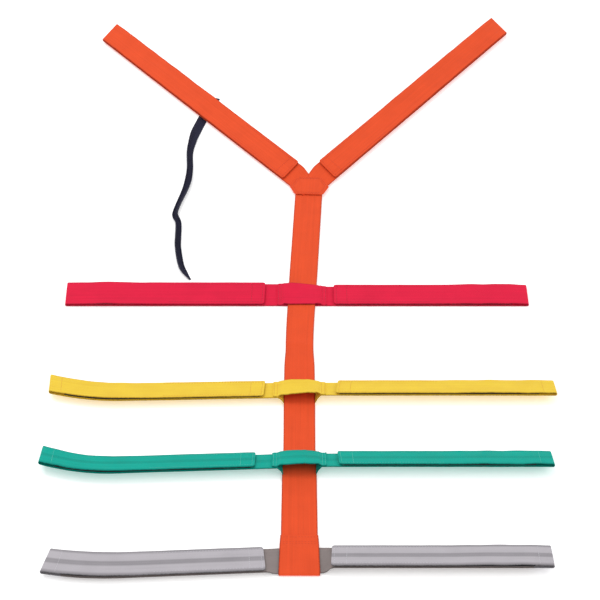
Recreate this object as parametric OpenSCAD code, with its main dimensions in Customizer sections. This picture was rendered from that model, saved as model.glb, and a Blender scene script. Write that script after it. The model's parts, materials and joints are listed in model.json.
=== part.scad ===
// Ten-point restraint harness for a spine board, laid out flat on a floor.
// +X is to the right, +Y towards the head, +Z up. The origin is the centre of the footprint on the floor.

/* [Webbing] */
// Width of every strap
webbing_w = 50; // [48:1:52]
// Thickness of one layer of webbing
webbing_t = 1.6; // [1.4:0.1:1.8]
// Width of the hook and loop tapes
tape_w = 44; // [38:1:46]
// Thickness of one hook or loop tape
tape_t = 1.2; // [1:0.1:1.4]
// Length of the hook tape at the free end of a flap
hook_length = 160; // [120:10:200]
// Clearance between webbing that moves and webbing that does not
slip_gap = 0.3; // [0.2:0.1:0.4]

/* [Spine strap] */
// Sideways place of the straight run of the spine strap
axis_x = -7.5; // [-12:0.5:-6]
// Lengthwise place of the foot strap
foot_y = -711.5; // [-716:0.5:-708]
// Distance from the foot strap up to the thigh strap
foot_to_thigh = 200; // [190:5:210]
// Distance from the thigh strap up to the hip strap
thigh_to_hip = 162; // [155:1:170]
// Distance from the hip strap up to the chest strap
hip_to_chest = 241; // [230:1:250]
// Distance from the chest strap up to the centre of the yoke
chest_to_yoke = 305; // [300:5:310]
// Lean of the spine strap above its bend, to the right
spine_lean = 2.5; // [2:0.5:3]
// Width of the end loop that the foot strap runs through
end_loop_w = 58; // [54:1:60]

/* [Shoulder straps] */
// Direction of the left shoulder strap, anticlockwise from +X
left_shoulder_heading = 127.8; // [126:0.2:130]
// Direction of the right shoulder strap, anticlockwise from +X
right_shoulder_heading = 54.4; // [52:0.2:56]
// Reach of the left shoulder strap from the yoke centre
left_shoulder_reach = 650; // [620:2:660]
// Reach of the right shoulder strap from the yoke centre
right_shoulder_reach = 661; // [640:1:670]
// Height of the raised inner edge of a shoulder strap, as a bank angle
shoulder_bank = 8; // [4:1:9]

/* [Cross straps] */
// Reach of the left and right halves of the chest strap from the spine
chest_reach = [397, 380];
// Reach of the left and right halves of the hip strap from the spine
hip_reach = [401, 407];
// Reach of the left and right halves of the thigh strap from the spine
thigh_reach = [400, 387];
// Reach of the left and right halves of the foot strap from the spine
foot_reach = [369, 367];
// Bank of the left and right halves of the chest strap, head-side edge raised
chest_bank = [8, 1];
// Bank of the left and right halves of the hip strap, foot-side edge raised
hip_bank = [14, 19];
// Bank of the left and right halves of the thigh strap, foot-side edge raised
thigh_bank = [19, 21];
// Bank of the left and right halves of the foot strap, foot-side edge raised
foot_bank = [5, 12];

/* [Stowage tie] */
// Width of the flat part of the tie, under the shoulder strap
tie_w = 19; // [16:1:20]
// Height that the loose, half-turned part of the tie takes up
tie_loose_h = 8; // [6:1:9]

/* [Hidden] */
$fn = 48;

// Stack of one folded strap, from the floor up; the seat is the adhesive under a sewn tape
tape_seat = 0.02;
loop_tape_z = webbing_t + tape_seat;
hook_tape_z = loop_tape_z + tape_t + slip_gap;
flap_z = hook_tape_z + tape_t + tape_seat;
stack_h = flap_z + webbing_t;
fold_r = stack_h / 2;

// Stack at the spine, from the floor up
spine_z = webbing_t + slip_gap;
keeper_z = spine_z + webbing_t + slip_gap;
keeper_top = keeper_z + webbing_t;
yoke_z = spine_z + webbing_t;
patch_z = yoke_z + webbing_t;

// Lengthwise places along the spine
thigh_y = foot_y + foot_to_thigh;
hip_y = thigh_y + thigh_to_hip;
chest_y = hip_y + hip_to_chest;
bend_to_chest = 100;
bend_y = chest_y - bend_to_chest;
chest_x = axis_x + bend_to_chest * tan(spine_lean);
yoke_y = chest_y + chest_to_yoke;
yoke_x = axis_x + (yoke_y - bend_y) * tan(spine_lean);

// Keeper: the tunnel that a cross strap carries over the spine
tunnel_half = webbing_w / 2 + 2;
keeper_slope = 5;
keeper_half = 42;
keeper_seams = [36, 40];

// Lift hinges: where a strap first bends up, clear of the keeper or of the yoke patch
yoke_hinge = 46;
chest_hinge = 50;
banked_hinge = 54;
foot_hinge = 44;
patch_reach = 27;

// Bare webbing left between a tape and the fold, and between a tape and the flap's end
fold_margin = 25;
end_margin = 6;

// Straight facets that a curl is made of
curl_steps = 12;

stitch_h = 0.3;
stitch_w = 0.8;
stitch_length = 3;
stitch_pitch = 5;

// One row for each of the ten straps: name, colour, root point, heading, bank, height above the floor,
// then from the root: lift hinge, free end of the flap, fold; then length and radius of the curl
function name_of(arm) = arm[0];
function colour_of(arm) = arm[1];
function root_of(arm) = arm[2];
function heading_of(arm) = arm[3];
function bank_of(arm) = arm[4];
function height_of(arm) = arm[5];
function hinge_of(arm) = arm[6];
function flap_end_of(arm) = arm[7];
function reach_of(arm) = arm[8];
function curl_of(arm) = arm[9];
function curl_radius_of(arm) = arm[10];
function run_of(arm) = reach_of(arm) - curl_of(arm);

yoke_point = [yoke_x, yoke_y];
chest_point = [chest_x, chest_y];
hip_point = [axis_x, hip_y];
thigh_point = [axis_x, thigh_y];
foot_point = [axis_x, foot_y];

ARMS = [
    ["left_shoulder", "orangered", yoke_point, left_shoulder_heading, -shoulder_bank, yoke_z,
        yoke_hinge, 49, left_shoulder_reach, 0, 0],
    ["right_shoulder", "orangered", yoke_point, right_shoulder_heading, shoulder_bank, yoke_z,
        yoke_hinge, 56, right_shoulder_reach, 0, 0],
    ["left_chest", "crimson", chest_point, 180, -chest_bank[0], 0,
        chest_hinge, 63, chest_reach[0], 0, 0],
    ["right_chest", "crimson", chest_point, 0, chest_bank[1], 0,
        chest_hinge, 53, chest_reach[1], 0, 0],
    ["left_hip", "gold", hip_point, 181.5, hip_bank[0], 0,
        banked_hinge, 60, hip_reach[0], 120, 320],
    ["right_hip", "gold", hip_point, 0, -hip_bank[1], 0,
        banked_hinge, 60, hip_reach[1], 0, 0],
    ["left_thigh", "mediumseagreen", thigh_point, 182.5, thigh_bank[0], 0,
        banked_hinge, 68, thigh_reach[0], 120, 265],
    ["right_thigh", "mediumseagreen", thigh_point, 0, -thigh_bank[1], 0,
        banked_hinge, 60, thigh_reach[1], 0, 0],
    ["left_foot", "darkgray", foot_point, 183, foot_bank[0], spine_z,
        foot_hinge, 51, foot_reach[0], 108, 420],
    ["right_foot", "darkgray", foot_point, 0, -foot_bank[1], spine_z,
        foot_hinge, 47, foot_reach[1], 0, 0]
];

// Route of the stowage tie, from its sewn end to its free end
tie_sewn_route = [[-170, 490], [-185, 443], [-198, 395]];
tie_loose_route = [[-198, 395], [-208, 350], [-214, 305], [-211, 250], [-211, 200], [-226, 125],
    [-224, 90], [-224, 50], [-222, 20], [-213, -35], [-197, -64]];
tie_sewn_h = 1.2;
tie_loose_w = 12;

ARM_PIECES = ["strap", "flap", "loop_tape", "hook_tape"];

// ---- straps that lie along a straight run, some with a curled end ----

// Turn to the right that the curl has made at a distance from the root
function turn_at(arm, distance) =
    distance > run_of(arm) ? (distance - run_of(arm)) / curl_radius_of(arm) * 180 / PI : 0;

// Place of a strap's centreline at a distance from its root
function path_at(arm, distance) =
    let (turn = turn_at(arm, distance))
    let (radius = curl_radius_of(arm))
    turn > 0 ? [run_of(arm) + radius * sin(turn), radius * (cos(turn) - 1)] : [distance, 0];

// The bank tips a strap about its centreline; this lifts its low edge back to the floor
function bank_rise(arm) = webbing_w / 2 * abs(sin(bank_of(arm)));

// A point of the banked cross-section, across and up
function section_point(arm, across, up) =
    let (bank = bank_of(arm))
    [across * cos(bank) - up * sin(bank), across * sin(bank) + up * cos(bank) + bank_rise(arm)];

function section_corners(arm, low, high, width) = [
    section_point(arm, -width / 2, low), section_point(arm, width / 2, low),
    section_point(arm, width / 2, high), section_point(arm, -width / 2, high)
];

// The four corners of a layer at a distance from the root
function layer_ring(arm, distance, corners) =
    let (turn = turn_at(arm, distance))
    let (place = path_at(arm, distance))
    [for (corner = corners) [place[0] + corner[0] * sin(turn), place[1] + corner[0] * cos(turn), corner[1]]];

module straight_layer(arm, start, end, corners) {
    translate([start, 0, 0])
        rotate([90, 0, 90])
            linear_extrude(end - start)
                polygon(corners);
}

module curled_layer(arm, start, end, corners) {
    run = run_of(arm);
    stations = concat(
        start < run ? [start] : [],
        [for (step = [0 : curl_steps]) max(start, run) + (end - max(start, run)) * step / curl_steps]
    );
    last = len(stations) - 1;
    points = [for (distance = stations) for (point = layer_ring(arm, distance, corners)) point];
    sides = [for (ring = [0 : last - 1]) for (corner = [0 : 3])
        let (next = (corner + 1) % 4)
        [4 * ring + corner, 4 * ring + 4 + corner, 4 * ring + 4 + next, 4 * ring + next]];
    polyhedron(points, concat(sides, [[0, 1, 2, 3]], [[for (corner = [3 : -1 : 0]) 4 * last + corner]]));
}

// One layer of a strap between two distances from its root
module layer(arm, start, end, low, high, width) {
    corners = section_corners(arm, low, high, width);
    if (end > run_of(arm))
        curled_layer(arm, start, end, corners);
    else
        straight_layer(arm, start, end, corners);
}

module in_strap_frame(arm) {
    translate([root_of(arm)[0], root_of(arm)[1], height_of(arm)])
        rotate([0, 0, heading_of(arm)])
            children();
}

// Frame at a distance along a strap: x outwards, y across the banked strap
module in_banked_frame(arm, distance) {
    place = path_at(arm, distance);
    translate([place[0], place[1], bank_rise(arm)])
        rotate([0, 0, -turn_at(arm, distance)])
            rotate([bank_of(arm), 0, 0])
                translate([0, webbing_w / 2, 0])
                    rotate([90, 0, 0])
                        children();
}

// The webbing turns back on itself round a half circle, drawn from the side
module fold_profile() {
    translate([0, fold_r])
        difference() {
            intersection() {
                circle(r = fold_r);
                translate([0, -fold_r])
                    square([fold_r, 2 * fold_r]);
            }
            circle(r = fold_r - webbing_t);
        }
}

module straight_strap(arm) {
    start = hinge_of(arm) + slip_gap;
    in_banked_frame(arm, 0)
        linear_extrude(webbing_w) {
            translate([start, 0])
                square([reach_of(arm) - start, webbing_t]);
            translate([reach_of(arm), 0])
                fold_profile();
        }
}

module curled_strap(arm) {
    layer(arm, hinge_of(arm) + slip_gap, reach_of(arm), 0, webbing_t, webbing_w);
    in_banked_frame(arm, reach_of(arm))
        linear_extrude(webbing_w)
            fold_profile();
}

module arm_strap(arm) {
    color(colour_of(arm))
        in_strap_frame(arm)
            if (curl_of(arm) > 0)
                curled_strap(arm);
            else
                straight_strap(arm);
}

module arm_flap(arm) {
    color(colour_of(arm))
        in_strap_frame(arm)
            layer(arm, flap_end_of(arm), reach_of(arm) - slip_gap, flap_z, stack_h, webbing_w);
}

module arm_loop_tape(arm) {
    color("dimgray")
        in_strap_frame(arm)
            layer(arm, flap_end_of(arm) + end_margin, reach_of(arm) - fold_margin,
                loop_tape_z, loop_tape_z + tape_t, tape_w);
}

module arm_hook_tape(arm) {
    start = flap_end_of(arm) + end_margin;
    color("dimgray")
        in_strap_frame(arm)
            layer(arm, start, start + hook_length, hook_tape_z, hook_tape_z + tape_t, tape_w);
}

module arm_piece(arm, piece) {
    if (piece == "strap") arm_strap(arm);
    if (piece == "flap") arm_flap(arm);
    if (piece == "loop_tape") arm_loop_tape(arm);
    if (piece == "hook_tape") arm_hook_tape(arm);
}

// ---- spine, end loop and yoke ----

module spine_strap() {
    straight_start = foot_y + webbing_w / 2 + 2;
    lean_length = (yoke_y - bend_y) / cos(spine_lean) + 12;
    color("orangered")
        translate([0, 0, spine_z])
            linear_extrude(webbing_t) {
                translate([axis_x - webbing_w / 2, straight_start])
                    square([webbing_w, bend_y - straight_start]);
                translate([axis_x, bend_y])
                    rotate(-spine_lean)
                        translate([-webbing_w / 2, -1])
                            square([webbing_w, lean_length + 1]);
            }
}

// The end of the spine is folded round the foot strap and sewn above and below the spine
module spine_end_loop() {
    inner_r = (webbing_t + 2 * slip_gap) / 2;
    outer_r = inner_r + webbing_t;
    fold_y = -webbing_w / 2 - 1;
    seam_start = webbing_w / 2 + 3;
    seam_end = webbing_w / 2 + 23;
    color("orangered")
        translate([axis_x - end_loop_w / 2, foot_y, 0]) {
            for (low = [0, keeper_z])
                translate([0, fold_y, low])
                    cube([end_loop_w, seam_end - fold_y, webbing_t]);
            for (low = [webbing_t, spine_z + webbing_t])
                translate([0, seam_start, low])
                    cube([end_loop_w, seam_end - seam_start, slip_gap]);
            translate([0, fold_y, outer_r])
                rotate([90, 0, 90])
                    difference() {
                        intersection() {
                            cylinder(r = outer_r, h = end_loop_w);
                            translate([-outer_r, -outer_r, 0])
                                cube([outer_r, 2 * outer_r, end_loop_w]);
                        }
                        translate([0, 0, -1])
                            cylinder(r = inner_r, h = end_loop_w + 2);
                    }
        }
}

// Outline of the yoke: a stub of spine webbing and one stub towards each shoulder
module yoke_outline(shoulder_stub, spine_stub) {
    translate(yoke_point) {
        for (heading = [left_shoulder_heading, right_shoulder_heading])
            rotate(heading)
                translate([0, -webbing_w / 2])
                    square([shoulder_stub, webbing_w]);
        rotate(-90 - spine_lean)
            translate([0, -webbing_w / 2])
                square([spine_stub, webbing_w]);
        circle(r = webbing_w / 2);
    }
}

module shoulder_yoke() {
    color("orangered")
        translate([0, 0, yoke_z])
            linear_extrude(webbing_t)
                yoke_outline(yoke_hinge, 22);
}

module yoke_patch() {
    color("orangered")
        translate([0, 0, patch_z])
            linear_extrude(tape_t)
                yoke_outline(patch_reach, 14);
}

// Half of the keeper's profile, from its foot on the cross strap up over the tunnel
module keeper_half_profile() {
    polygon([
        [keeper_half, webbing_t], [keeper_half, 2 * webbing_t],
        [tunnel_half + keeper_slope + slip_gap, 2 * webbing_t], [tunnel_half + slip_gap, keeper_top],
        [-1, keeper_top], [-1, keeper_z], [tunnel_half, keeper_z], [tunnel_half + keeper_slope, webbing_t]
    ]);
}

module keeper(point, colour) {
    color(colour)
        translate([point[0], point[1] + webbing_w / 2, 0])
            rotate([90, 0, 0])
                linear_extrude(webbing_w) {
                    keeper_half_profile();
                    mirror([1, 0])
                        keeper_half_profile();
                }
}

module strap_centre(point, half_length, low, colour) {
    color(colour)
        translate([point[0] - half_length, point[1] - webbing_w / 2, low])
            cube([2 * half_length, webbing_w, webbing_t]);
}

// ---- sewing thread ----

// A row of stitches along +X from the origin
module stitch_row(length) {
    for (place = [stitch_pitch / 2 : stitch_pitch : length - stitch_pitch / 2])
        translate([place - stitch_length / 2, -stitch_w / 2, 0])
            cube([stitch_length, stitch_w, stitch_h]);
}

// Two rows hold each foot of a keeper to its strap
module keeper_stitching(point, colour) {
    color(colour)
        translate([point[0], point[1] - webbing_w / 2, 2 * webbing_t])
            for (side = [-1, 1])
                for (seam = keeper_seams)
                    translate([side * seam, 0, 0])
                        rotate([0, 0, 90])
                            stitch_row(webbing_w);
}

module yoke_stitching() {
    color("firebrick")
        translate([yoke_x, yoke_y, patch_z + tape_t])
            for (heading = [left_shoulder_heading, right_shoulder_heading])
                rotate([0, 0, heading])
                    translate([patch_reach - 3, -webbing_w / 2, 0])
                        rotate([0, 0, 90])
                            stitch_row(webbing_w - 12);
}

module end_loop_stitching() {
    color("firebrick")
        translate([axis_x - end_loop_w / 2 + 4, foot_y + webbing_w / 2, keeper_top])
            for (row_y = [6, 20])
                translate([0, row_y, 0])
                    stitch_row(end_loop_w - 8);
}

// ---- stowage tie ----

// Unit vector to the left of the route at one of its points
function side_at(route, index) =
    let (before = route[max(index - 1, 0)])
    let (after = route[min(index + 1, len(route) - 1)])
    let (along = after - before)
    [-along[1], along[0]] / norm(along);

module tie_outline(route, width) {
    last = len(route) - 1;
    left = [for (index = [0 : last]) route[index] + side_at(route, index) * width / 2];
    right = [for (index = [last : -1 : 0]) route[index] - side_at(route, index) * width / 2];
    polygon(concat(left, right));
}

module stowage_tie() {
    color("midnightblue") {
        linear_extrude(tie_sewn_h)
            tie_outline(tie_sewn_route, tie_w);
        linear_extrude(tie_loose_h)
            difference() {
                tie_outline(tie_loose_route, tie_loose_w);
                shoulder_shadow();
            }
        linear_extrude(tie_sewn_h)
            tie_outline(tie_loose_route, tie_loose_w);
    }
}

// Floor under the left shoulder strap, where the tie stays flat
module shoulder_shadow() {
    translate(yoke_point)
        rotate(left_shoulder_heading)
            translate([0, -webbing_w / 2 - 3])
                square([left_shoulder_reach, webbing_w + 6]);
}

// ---- nodes ----

spine_strap();
spine_end_loop();
shoulder_yoke();
yoke_patch();
yoke_stitching();
end_loop_stitching();
stowage_tie();
strap_centre(chest_point, chest_hinge, 0, "crimson");  // chest_strap_centre
keeper(chest_point, "crimson");  // chest_keeper
keeper_stitching(chest_point, "darkred");  // chest_stitching
strap_centre(hip_point, banked_hinge, 0, "gold");  // hip_strap_centre
keeper(hip_point, "gold");  // hip_keeper
keeper_stitching(hip_point, "goldenrod");  // hip_stitching
strap_centre(thigh_point, banked_hinge, 0, "seagreen");  // thigh_strap_centre
keeper(thigh_point, "mediumseagreen");  // thigh_keeper
keeper_stitching(thigh_point, "seagreen");  // thigh_stitching
strap_centre(foot_point, foot_hinge, spine_z, "darkgray");  // foot_strap_centre
for (arm = ARMS)
    for (piece = ARM_PIECES)
        arm_piece(arm, piece);
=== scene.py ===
"""Looks for a ten-point restraint harness of 50 mm webbing, laid out flat.

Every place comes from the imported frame: the line of each strap is worked out from the pivots and axes
of its lift and peel joints, and the spine, keepers, yoke, end loop and tie stand where their CAD nodes do.
"""
import json
import math
from collections import namedtuple

import bmesh
import bpy
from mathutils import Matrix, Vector, noise


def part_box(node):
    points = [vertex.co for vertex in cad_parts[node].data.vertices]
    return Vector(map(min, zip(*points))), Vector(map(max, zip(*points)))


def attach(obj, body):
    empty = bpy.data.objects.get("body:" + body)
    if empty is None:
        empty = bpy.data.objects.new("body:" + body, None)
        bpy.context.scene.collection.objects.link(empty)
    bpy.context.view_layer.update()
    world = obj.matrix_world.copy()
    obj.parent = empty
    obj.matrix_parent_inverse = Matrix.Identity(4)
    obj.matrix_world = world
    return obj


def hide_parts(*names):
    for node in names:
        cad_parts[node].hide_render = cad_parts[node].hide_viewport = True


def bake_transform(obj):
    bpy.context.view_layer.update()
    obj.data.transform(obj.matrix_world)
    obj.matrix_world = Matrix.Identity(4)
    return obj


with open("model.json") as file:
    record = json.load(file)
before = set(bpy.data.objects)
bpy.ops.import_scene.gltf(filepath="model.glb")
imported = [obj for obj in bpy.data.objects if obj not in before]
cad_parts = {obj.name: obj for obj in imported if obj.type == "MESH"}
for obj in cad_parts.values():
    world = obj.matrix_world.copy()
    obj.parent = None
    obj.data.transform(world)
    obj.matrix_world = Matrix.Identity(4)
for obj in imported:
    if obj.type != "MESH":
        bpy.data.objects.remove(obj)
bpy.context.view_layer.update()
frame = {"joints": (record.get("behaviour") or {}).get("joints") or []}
JOINTS = {joint["name"]: joint for joint in frame["joints"]}

UP = Vector((0, 0, 1))

# ---- sizes, in metres, the same stack as the CAD model ----

# Half width and thickness of the webbing, and of the hook and loop tapes
HALF = 0.025
WEBBING_T = 0.0016
TAPE_HALF = 0.022
TAPE_T = 0.0012

# Heights above a strap's underside: the middle of each layer, and the top of the stack
LOWER_MID = 0.0008
LOOP_MID = 0.00222
HOOK_MID = 0.00372
FLAP_MID = 0.00514
STACK_H = 0.00594
FOLD_MID_R = (FLAP_MID - LOWER_MID) / 2

# How far in from the outer fold the piece that turns there reaches, and the loop tape ends
FOLD_MARGIN = 0.027
LOOP_TAPE_MARGIN = 0.025

# Length of a hook tape, and how far the tapes stay inside the flap's free end
HOOK_LENGTH = 0.160
TAPE_END_MARGIN = 0.006

# Heights above the ground: middle of the spine, middle of a keeper, underside of the yoke panel
SPINE_MID = 0.0027
KEEPER_MID = 0.0046
PANEL_BASE = 0.00515

# Where a shoulder strap starts to bend up, measured from the yoke point
YOKE_HINGE = 0.046

# Stretch over which a strap takes up its bank, measured from its root: past the yoke, spine or end loop
BANK_EASE = {"shoulder": (0.030, 0.052), "foot": (0.0365, 0.048)}
SPINE_EDGE_EASE = (0.0252, 0.0325)

# Spacing of the ribs along a strap and along the spine, and steps round a strap's fold and the end loop's
RIB_STEP = 0.005
SPINE_STEP = 0.004
FOLD_STEPS = 12
LOOP_FOLD_STEPS = 10

# How far a strap's two layers stray from flat, and the stretch where they settle before the outer fold
LOWER_WAVE = 0.0003
LOWER_SETTLE = 0.02
FLAP_WAVE = 0.0004
FLAP_SETTLE = 0.03

# What a flap strays further where no hooks hold it, and the stretch over which it comes loose
LOOSE_WAVE = 0.0016
LOOSE_EASE = 0.08

# Waves to a metre of webbing, in its body and along its edges
BODY_WAVES = 21
EDGE_WAVES = 34

# Seeds for the patterns of pieces that aren't part of an arm, and for waves
PATTERN_SEEDS = {"spine": 11, "loop": 12, "keepers": 14, "panel": 19, "tie": 23}
WAVE_SEEDS = {"flap": 20, "spine": 40, "loop": 43}

# Name of each level of straps, and its colour
LEVELS = {"shoulder": "orange", "chest": "red", "hip": "yellow", "thigh": "green", "foot": "grey"}

# Free end of each flap, past its lift hinge, and the slant of its cut
FLAP_START = {
    "left_shoulder": (0.0080, -0.30),
    "right_shoulder": (0.0095, 0.35),
    "left_chest": (0.0130, 0.03),
    "right_chest": (0.0040, 0.0),
    "left_hip": (0.0020, 0.07),
    "right_hip": (0.0060, 0.10),
    "left_thigh": (0.0140, 0.06),
    "right_thigh": (0.0060, -0.05),
    "left_foot": (0.0070, -0.04),
    "right_foot": (0.0030, 0.05),
}

# Slant of the outer folds that aren't square, and the stretch over which it fades out
FOLD_SLANT = {"left_shoulder": -0.42, "right_shoulder": 0.42, "left_hip": -0.42, "left_thigh": -0.40}
SLANT_FADE = 0.07

# Levels with a row of stitches near the outer fold, and how far in from the fold it is
FOLD_SEAM_LEVELS = ("hip", "thigh", "foot")
FOLD_SEAM = 0.018

# A band's cross-section: middle point, directions, place in the pattern, reach to each side, and lift
Rib = namedtuple("Rib", "point along across up mark right left lift")


def smooth(t):
    """0 below 0, 1 above 1, and an S-curve between."""
    t = min(1.0, max(0.0, t))
    return t * t * (3 - 2 * t)


def steps(start, end, step=RIB_STEP):
    """Even places from start to end, about one step apart."""
    count = max(2, math.ceil(abs(end - start) / step))
    return [start + (end - start) * index / count for index in range(count + 1)]


def flat(*_):
    """No lift: the layer lies in its own plane."""
    return 0.0


def waves(mark, across, seed):
    """Slow loose waves of webbing, livelier along its edges, from 0 to 1. Each seed has its own."""
    body = noise.noise(Vector((mark * BODY_WAVES, seed * 7.3, 0.4)))
    edge = noise.noise(Vector((mark * EDGE_WAVES, seed * 3.1, 5.0 if across > 0 else -5.0)))
    return min(1.0, max(0.0, 0.45 + 0.4 * body + 0.6 * edge * (across / HALF) ** 2))


# ---- camera, floor and light ----

VIEW_PITCH = math.radians(40.0)
VIEW_DISTANCE = 3.308
VIEW_AIM = Vector((-0.0065, -0.1165, 0))
LENS_MM = 117.1
SENSOR_MM = 36

# Soft lamps: name, place, diameter and power in watts
LAMPS = [("key", (-1.6, 0.9, 3.2), 1.8, 37), ("fill", (2.2, -1.6, 2.6), 2.4, 18)]
SKY_STRENGTH = 0.88
FLOOR_SIZE = 12
FLOOR_Z = -0.0004
FLOOR_WHITE = 0.93
FLOOR_GLOW = 0.30


def aim(obj, target):
    """Turns a camera or lamp to look at a point."""
    obj.rotation_euler = (Vector(target) - obj.location).to_track_quat("-Z", "Y").to_euler()


def add_camera():
    """The camera, at the photograph's viewing angle."""
    data = bpy.data.cameras.new("camera")
    data.lens = LENS_MM
    data.sensor_width = SENSOR_MM
    camera = bpy.data.objects.new("camera", data)
    back = Vector((0, -math.cos(VIEW_PITCH), math.sin(VIEW_PITCH)))
    camera.location = VIEW_AIM + back * VIEW_DISTANCE
    aim(camera, VIEW_AIM)
    bpy.context.scene.collection.objects.link(camera)
    bpy.context.scene.camera = camera


def add_area_light(name, place, size, watts):
    """A round soft lamp that points at the harness."""
    data = bpy.data.lights.new(name, "AREA")
    data.shape = "DISK"
    data.size = size
    data.energy = watts
    light = bpy.data.objects.new(name, data)
    light.location = place
    aim(light, (0, 0, 0))
    bpy.context.scene.collection.objects.link(light)


def add_studio():
    """Even white surroundings, the lamps and a plain pale floor."""
    scene = bpy.context.scene
    scene.view_settings.view_transform = "Standard"
    world = bpy.data.worlds.new("studio")
    world.use_nodes = True
    world.node_tree.nodes["Background"].inputs["Color"].default_value = (1, 1, 1, 1)
    world.node_tree.nodes["Background"].inputs["Strength"].default_value = SKY_STRENGTH
    scene.world = world
    for lamp in LAMPS:
        add_area_light(*lamp)
    bpy.ops.mesh.primitive_plane_add(size=FLOOR_SIZE, location=(0, 0, FLOOR_Z))
    floor = bpy.context.object
    floor.name = "floor"
    paper = bpy.data.materials.new("floor_paper")
    paper.use_nodes = True
    shader = paper.node_tree.nodes["Principled BSDF"]
    shader.inputs["Base Color"].default_value = (FLOOR_WHITE, FLOOR_WHITE, FLOOR_WHITE, 1)
    shader.inputs["Roughness"].default_value = 0.9
    shader.inputs["Specular IOR Level"].default_value = 0.1
    shader.inputs["Emission Color"].default_value = (1, 1, 1, 1)
    shader.inputs["Emission Strength"].default_value = FLOOR_GLOW
    floor.data.materials.append(paper)


add_camera()
add_studio()

# ---- materials ----

BUMP_STRENGTH = 0.6
SHEEN_ROUGHNESS = 0.45


def linear(red, green, blue):
    """A screen colour, 0 to 255 a channel, as linear light."""
    return tuple(((c / 255 + 0.055) / 1.055) ** 2.4 if c > 10 else c / 3295 for c in (red, green, blue))


def toned(colour, gain):
    """A colour made lighter or darker, with full opacity."""
    return tuple(min(0.95, c * gain) for c in colour) + (1.0,)


class Wiring:
    """Short calls for wiring one material's nodes. Places come from the mesh's strap_uv attribute:
    metres along the webbing, metres across it, and a number that differs from piece to piece."""

    def __init__(self, name):
        self.material = bpy.data.materials.new(name)
        self.material.use_nodes = True
        self.nodes = self.material.node_tree.nodes
        self.links = self.material.node_tree.links
        self.shader = self.nodes["Principled BSDF"]
        place = self.nodes.new("ShaderNodeAttribute")
        place.attribute_name = "strap_uv"
        split = self.nodes.new("ShaderNodeSeparateXYZ")
        self.links.new(place.outputs["Vector"], split.inputs[0])
        self.place = place.outputs["Vector"]
        self.along, self.across, self.seed = split.outputs

    def feed(self, socket, value):
        """Links a socket to another one, or sets it to a value."""
        if isinstance(value, bpy.types.NodeSocket):
            self.links.new(value, socket)
        else:
            socket.default_value = value

    def calc(self, operation, first, second=0.0):
        """One sum, product or other calculation on values or sockets."""
        node = self.nodes.new("ShaderNodeMath")
        node.operation = operation
        self.feed(node.inputs[0], first)
        self.feed(node.inputs[1], second)
        return node.outputs[0]

    def total(self, start, *terms):
        """start plus each (value - 0.5) times its weight, for values that run from 0 to 1."""
        result = start
        for value, weight in terms:
            centred = self.calc("SUBTRACT", value, 0.5)
            result = self.calc("ADD", self.calc("MULTIPLY", centred, weight), result)
        return result

    def wave(self, value, pitch):
        """A smooth ripple of that pitch, from 0 to 1."""
        turned = self.calc("SINE", self.calc("MULTIPLY", value, math.tau / pitch))
        return self.calc("ADD", self.calc("MULTIPLY", turned, 0.5), 0.5)

    def grain(self, scale, detail=2.0):
        """Noise whose grain is stretched by scale = (along, across, between pieces)."""
        stretch = self.nodes.new("ShaderNodeVectorMath")
        stretch.operation = "MULTIPLY"
        self.links.new(self.place, stretch.inputs[0])
        stretch.inputs[1].default_value = scale
        texture = self.nodes.new("ShaderNodeTexNoise")
        texture.inputs["Scale"].default_value = 1.0
        texture.inputs["Detail"].default_value = detail
        self.links.new(stretch.outputs[0], texture.inputs["Vector"])
        return texture.outputs["Fac"]

    def ramp(self, value, stops):
        """Grey levels at (place, level) stops, looked up by value."""
        node = self.nodes.new("ShaderNodeValToRGB")
        elements = node.color_ramp.elements
        while len(elements) < len(stops):
            elements.new(0.5)
        for element, (place, level) in zip(elements, stops):
            element.position = place
            element.color = (level, level, level, 1)
        self.feed(node.inputs[0], value)
        return node.outputs[0]

    def mix(self, factor, first, second):
        """The first colour at 0, the second at 1."""
        node = self.nodes.new("ShaderNodeMix")
        node.data_type = "RGBA"
        self.feed(node.inputs[0], factor)
        self.feed(node.inputs[6], first)
        self.feed(node.inputs[7], second)
        return node.outputs[2]

    def edge(self, half, width):
        """1 along both selvedges of webbing of that half width, fading to 0 over width."""
        away = self.calc("ABSOLUTE", self.across)
        rise = self.calc("MULTIPLY", self.calc("SUBTRACT", away, half - width), 1 / width)
        return self.calc("MINIMUM", self.calc("MAXIMUM", rise, 0.0), 1.0)

    def surface(self, colour, roughness, height, depth):
        """Colour, roughness and relief: height runs from 0 to 1 and depth is what 1 stands for."""
        self.feed(self.shader.inputs["Base Color"], colour)
        self.feed(self.shader.inputs["Roughness"], roughness)
        bump = self.nodes.new("ShaderNodeBump")
        bump.inputs["Strength"].default_value = BUMP_STRENGTH
        bump.inputs["Distance"].default_value = depth
        self.feed(bump.inputs["Height"], height)
        self.links.new(bump.outputs["Normal"], self.shader.inputs["Normal"])

    def finish(self, sheen, specular):
        """Sets the sheen and gloss, and gives the finished material."""
        self.shader.inputs["Sheen Weight"].default_value = sheen
        self.shader.inputs["Sheen Roughness"].default_value = SHEEN_ROUGHNESS
        self.shader.inputs["Specular IOR Level"].default_value = specular
        return self.material


# Twill of the webbing: pitch of its picks, of its cords and of its chevrons
PICK = 0.0017
CORD = 0.0011
CHEVRON = 0.0042

# Width of the painted shade along the webbing's selvedges, broken up by a fuzz grain
EDGE_SHADE_WIDTH = 0.0020

# Painted sheen and shade: light and dark bands from the middle of the webbing to its edge, darker toward the
# edge: place and level, both from 0 to 1
STRONG_SHEEN_SHADE_BANDS = [(0.0, 0.30), (0.15, 0.30), (0.24, 0.85), (0.72, 0.9), (0.86, 0.35), (1.0, 0.15)]
SOFT_SHEEN_SHADE_BANDS = [(0.0, 0.5), (0.3, 0.55), (0.42, 0.4), (0.8, 0.55), (0.93, 0.4), (1.0, 0.2)]


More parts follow.
